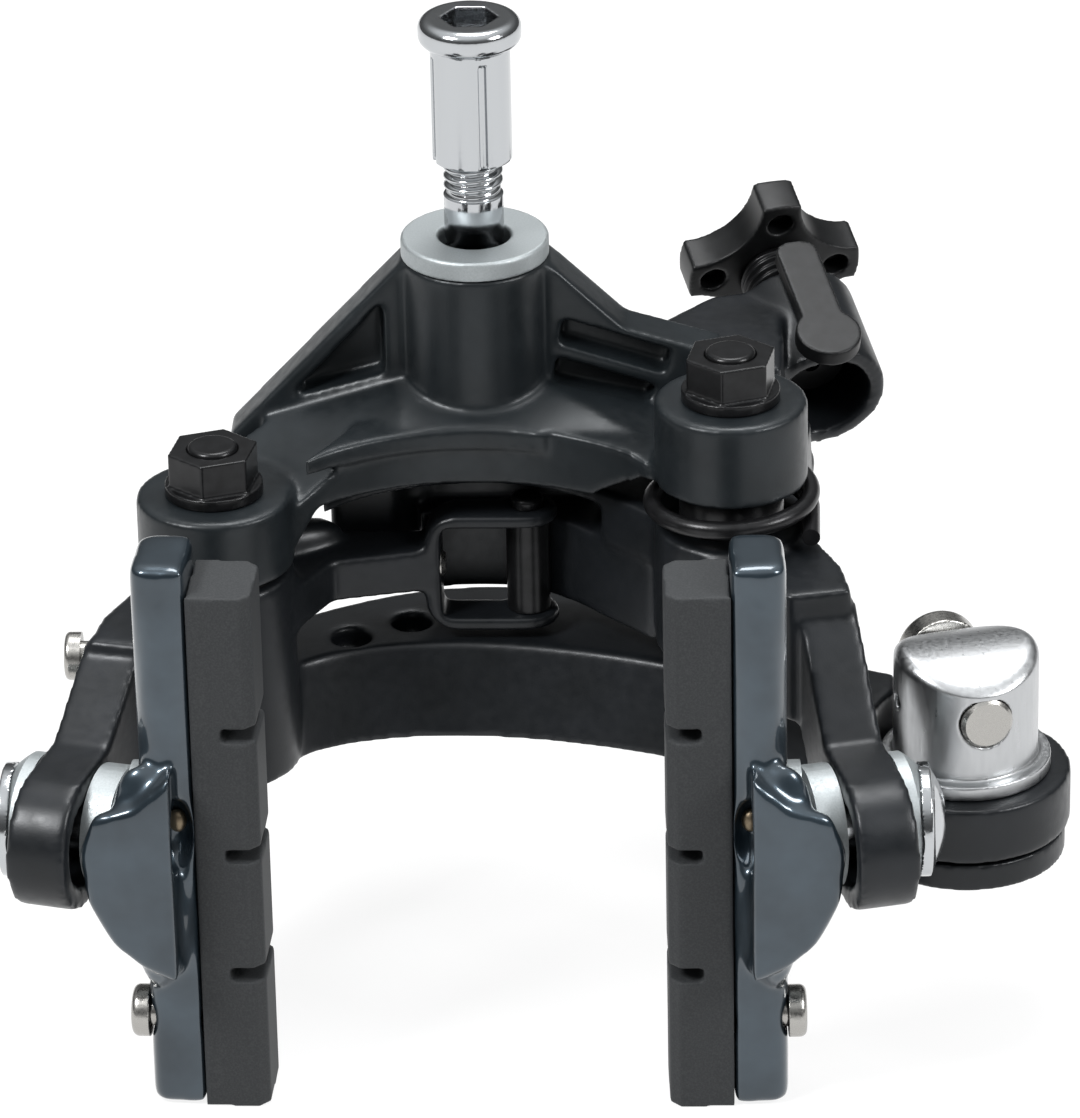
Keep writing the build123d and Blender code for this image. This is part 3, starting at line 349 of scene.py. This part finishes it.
def thread(sculpt, matrix, core, crest, pitch, start, end, root=None):
    """A screw thread about local Z; root is the radius of the first ring where it meets a shank."""
    rows = []
    steps = round((end - start) / pitch * THREAD_STEPS)
    for step in range(steps + 1):
        z = start + (end - start) * step / steps
        fade = min(1.0, (z - start) / pitch, (end - z) / pitch * THREAD_RUNOUT)
        row = []
        for index in range(THREAD_SIDES):
            angle = 2 * math.pi * index / THREAD_SIDES
            phase = ((z - start) / pitch - index / THREAD_SIDES) % 1.0
            height = min(1.0, THREAD_FLANK * (0.5 - abs(phase - 0.5)))
            radius = core + (crest - core) * height * fade
            if root and step == 0:
                radius = root
            row.append((radius * math.cos(angle), radius * math.sin(angle), z))
        rows.append(row)
    rings = turned_rows(sculpt, rows, matrix)
    sculpt.faces.new(rings[-1])


# ---- pieces --------------------------------------------------------------------------------
# the bolt's plain shank and end, its thread's core and crest radii, and its pitch
SHANK_R, SHANK_TOP, BOLT_END = 3.0, 4.6, 16.0
BOLT_CORE, BOLT_CREST, PITCH = 2.45, 2.98, 1.0
# the cable stop's mouth and axis, the sleeve's thread between the stop and the knob
STOP_MOUTH = Vector((35.0, 16.0, -25.8))
STOP_AXIS = Vector((-0.27, 0.90, 0.34)).normalized()
STOP_FACE, KNOB_FACE = 13.0, 19.2
SLEEVE_CORE, SLEEVE_CREST = 3.5, 3.95
THREAD_GAP = 0.1
# the anchor's place and radius, and how far and how deep its crown falls
RING_MID, ANCHOR_TOP, ANCHOR_R, CLAMP_ANGLE = Vector((48.9, -24.6, 0)), -33.4, 7.2, 16.0
CROWN_HEIGHT, CROWN_FALL = 3.0, 2.2
ANCHOR_VOXEL, ANCHOR_ROUNDS = 0.18, 5
# the pads' faces, and each holder's swellings: (out, up, z) from the pad and the three radii
PAD_FACE_X, PAD_Y, PAD_LEAN = 19.5, -44.2, 3.0
HOLDER_LUMPS = (
    ((12.4, -5.6, -46.0), (4.4, 2.9, 7.6)),
    ((8.6, -3.9, -51.5), (1.9, 2.3, 6.4)),
    ((10.4, -4.6, -49.5), (2.6, 2.4, 9.5)),
    ((11.2, -5.2, -38.6), (2.8, 1.5, 4.6)),
    ((8.9, -3.6, -27.0), (2.3, 1.6, 12.5)),
)
HOLDER_OPENING = ((8.1, -4.6, -42.1), (1.75, 2.6, 4.0))
BOLT_TIP = ((8.1, -3.0, -41.2), (0.9, 0.8, 1.2))
HOLDER_VOXEL, HOLDER_ROUNDS = 0.3, 55
# ellipsoids added to a forged node: its place, radii and turn
SWELLINGS = {"long_arm": ((-19.6, -7.6, -30.8), (6.4, 2.4, 2.5), 24)}

# node: (body, voxel, rounds of smoothing, slot)
FORGED = {
    "bridge": ("bridge", 0.35, 14, "bridge_black"),
    "long_arm": ("long_arm", 0.38, 12, "arm_black"),
    "short_arm": ("short_arm", 0.38, 12, "arm_black"),
    "adjuster_knob": ("adjuster_knob", 0.2, 9, "black_plastic"),
    "adjuster_clip": ("short_arm", 0.16, 8, "black_plastic"),
    "release_lever": ("cable_release", 0.3, 5, "arm_black"),
    "sunken_nut": ("sunken_nut", 0.13, 4, "chrome"),
    "mounting_washer": ("bridge", 0.16, 3, "washer_grey"),
    "pivot_nuts": ("bridge", 0.15, 4, "black_oxide"),
    "shoe_bolt_left": ("shoe_bolt_left", 0.14, 4, "chrome"),
    "shoe_bolt_right": ("shoe_bolt_right", 0.14, 4, "chrome"),
    "pad_left": ("shoe_left", 0.25, 4, "pad_rubber"),
    "pad_right": ("shoe_right", 0.25, 4, "pad_rubber"),
    "pad_screw_left": ("shoe_left", 0.1, 3, "stainless"),
    "pad_screw_right": ("shoe_right", 0.1, 3, "stainless"),
    "clamp_bolt": ("clamp_bolt", 0.13, 4, "stainless"),
}


def forge_nodes():
    """Every node of FORGED, with its swelling if it has one, softened in place of the CAD's."""
    for node, (body, voxel, rounds, slot) in FORGED.items():
        sculpt = cad_sculpt(node)
        if node in SWELLINGS:
            lump(sculpt, *SWELLINGS[node])
        add_piece(f"{node}_forged", forged(sculpt, node, voxel, rounds), body, [node], slot)


def dress_nodes():
    """Give every CAD node the material of its slot in the record."""
    slots = {entry["node"]: entry["material_slot"] for entry in frame["record"]["subparts"]}
    for node, obj in frame["nodes"].items():
        for index in range(len(obj.material_slots)):
            obj.material_slots[index].material = MATERIALS[slots[node]]


def add_mounting_bolt():
    """The plain shank from the CAD, cut short, and a real thread above it."""
    sculpt = cad_sculpt("mounting_bolt")
    everything = sculpt.verts[:] + sculpt.edges[:] + sculpt.faces[:]
    start = SHANK_TOP - THREAD_GAP
    bmesh.ops.bisect_plane(sculpt, geom=everything, plane_co=(0, 0, start * MM), plane_no=(0, 0, 1),
                           clear_outer=True)
    thread(sculpt, Matrix.Identity(4), BOLT_CORE, BOLT_CREST, PITCH, start, BOLT_END, root=SHANK_R)
    mesh = finished(sculpt, "mounting_bolt")
    add_piece("mounting_bolt_threaded", mesh, "bridge", ["mounting_bolt"], "chrome")


def add_adjuster_thread():
    """The thread that shows on the adjuster's sleeve between the stop and the knob."""
    sculpt = bmesh.new()
    axes = STOP_AXIS.to_track_quat("Z", "Y").to_matrix().to_4x4()
    matrix = Matrix.Translation(STOP_MOUTH * MM) @ axes
    thread(sculpt, matrix, SLEEVE_CORE, SLEEVE_CREST, PITCH, STOP_FACE + THREAD_GAP, KNOB_FACE - THREAD_GAP)
    add_piece("adjuster_thread", finished(sculpt, "adjuster_thread"), "adjuster_sleeve", [], "black_oxide")


def add_anchor():
    """The cable anchor with its top crowned across the clamp bolt."""
    mesh = forged(cad_sculpt("cable_anchor"), "cable_anchor", ANCHOR_VOXEL, ANCHOR_ROUNDS)
    turn = math.radians(CLAMP_ANGLE)
    across = Vector((-math.sin(turn), math.cos(turn), 0))
    for vertex in mesh.vertices:
        place = vertex.co / MM
        height = max(0.0, min(1.0, (place.z - ANCHOR_TOP + CROWN_HEIGHT) / CROWN_HEIGHT))
        offset = (place - RING_MID).dot(across) / ANCHOR_R
        vertex.co.z -= CROWN_FALL * height * min(1.0, offset * offset) * MM
    add_piece("cable_anchor_crowned", mesh, "cable_release", ["cable_anchor"], "satin_aluminium")


def on_shoe(side, out, up, z):
    """A point of a shoe from its own axes: out from the pad's face, up the pad and the height z."""
    lean = math.radians(PAD_LEAN)
    return (side * (PAD_FACE_X + out * math.cos(lean) - up * math.sin(lean)),
            PAD_Y + out * math.sin(lean) + up * math.cos(lean), z)


def shoe_lump(sculpt, side, place, radii):
    """An ellipsoid placed by a shoe's own axes and turned with it."""
    lump(sculpt, on_shoe(side, *place), radii, side * PAD_LEAN)


def add_shoe(side, word):
    """A holder with its swollen wing and an oval opening, and the bolt's end inside it."""
    body = f"shoe_{word}"
    sculpt = cad_sculpt(f"holder_{word}")
    for place, radii in HOLDER_LUMPS:
        shoe_lump(sculpt, side, place, radii)
    hollow = bmesh.new()
    shoe_lump(hollow, side, *HOLDER_OPENING)
    mesh = forged(sculpt, f"holder_{word}", HOLDER_VOXEL, HOLDER_ROUNDS, hollow)
    add_piece(f"holder_{word}_forged", mesh, body, [f"holder_{word}"], "holder_blue_grey")
    tip = bmesh.new()
    shoe_lump(tip, side, *BOLT_TIP)
    add_piece(f"bolt_end_{word}", finished(tip, f"bolt_end_{word}"), body, [], "bronze")


add_camera()
add_studio()
MATERIALS = make_materials()
dress_nodes()
forge_nodes()
add_mounting_bolt()
add_adjuster_thread()
add_anchor()
for side, word in ((LEFT, "left"), (RIGHT, "right")):
    add_shoe(side, word)
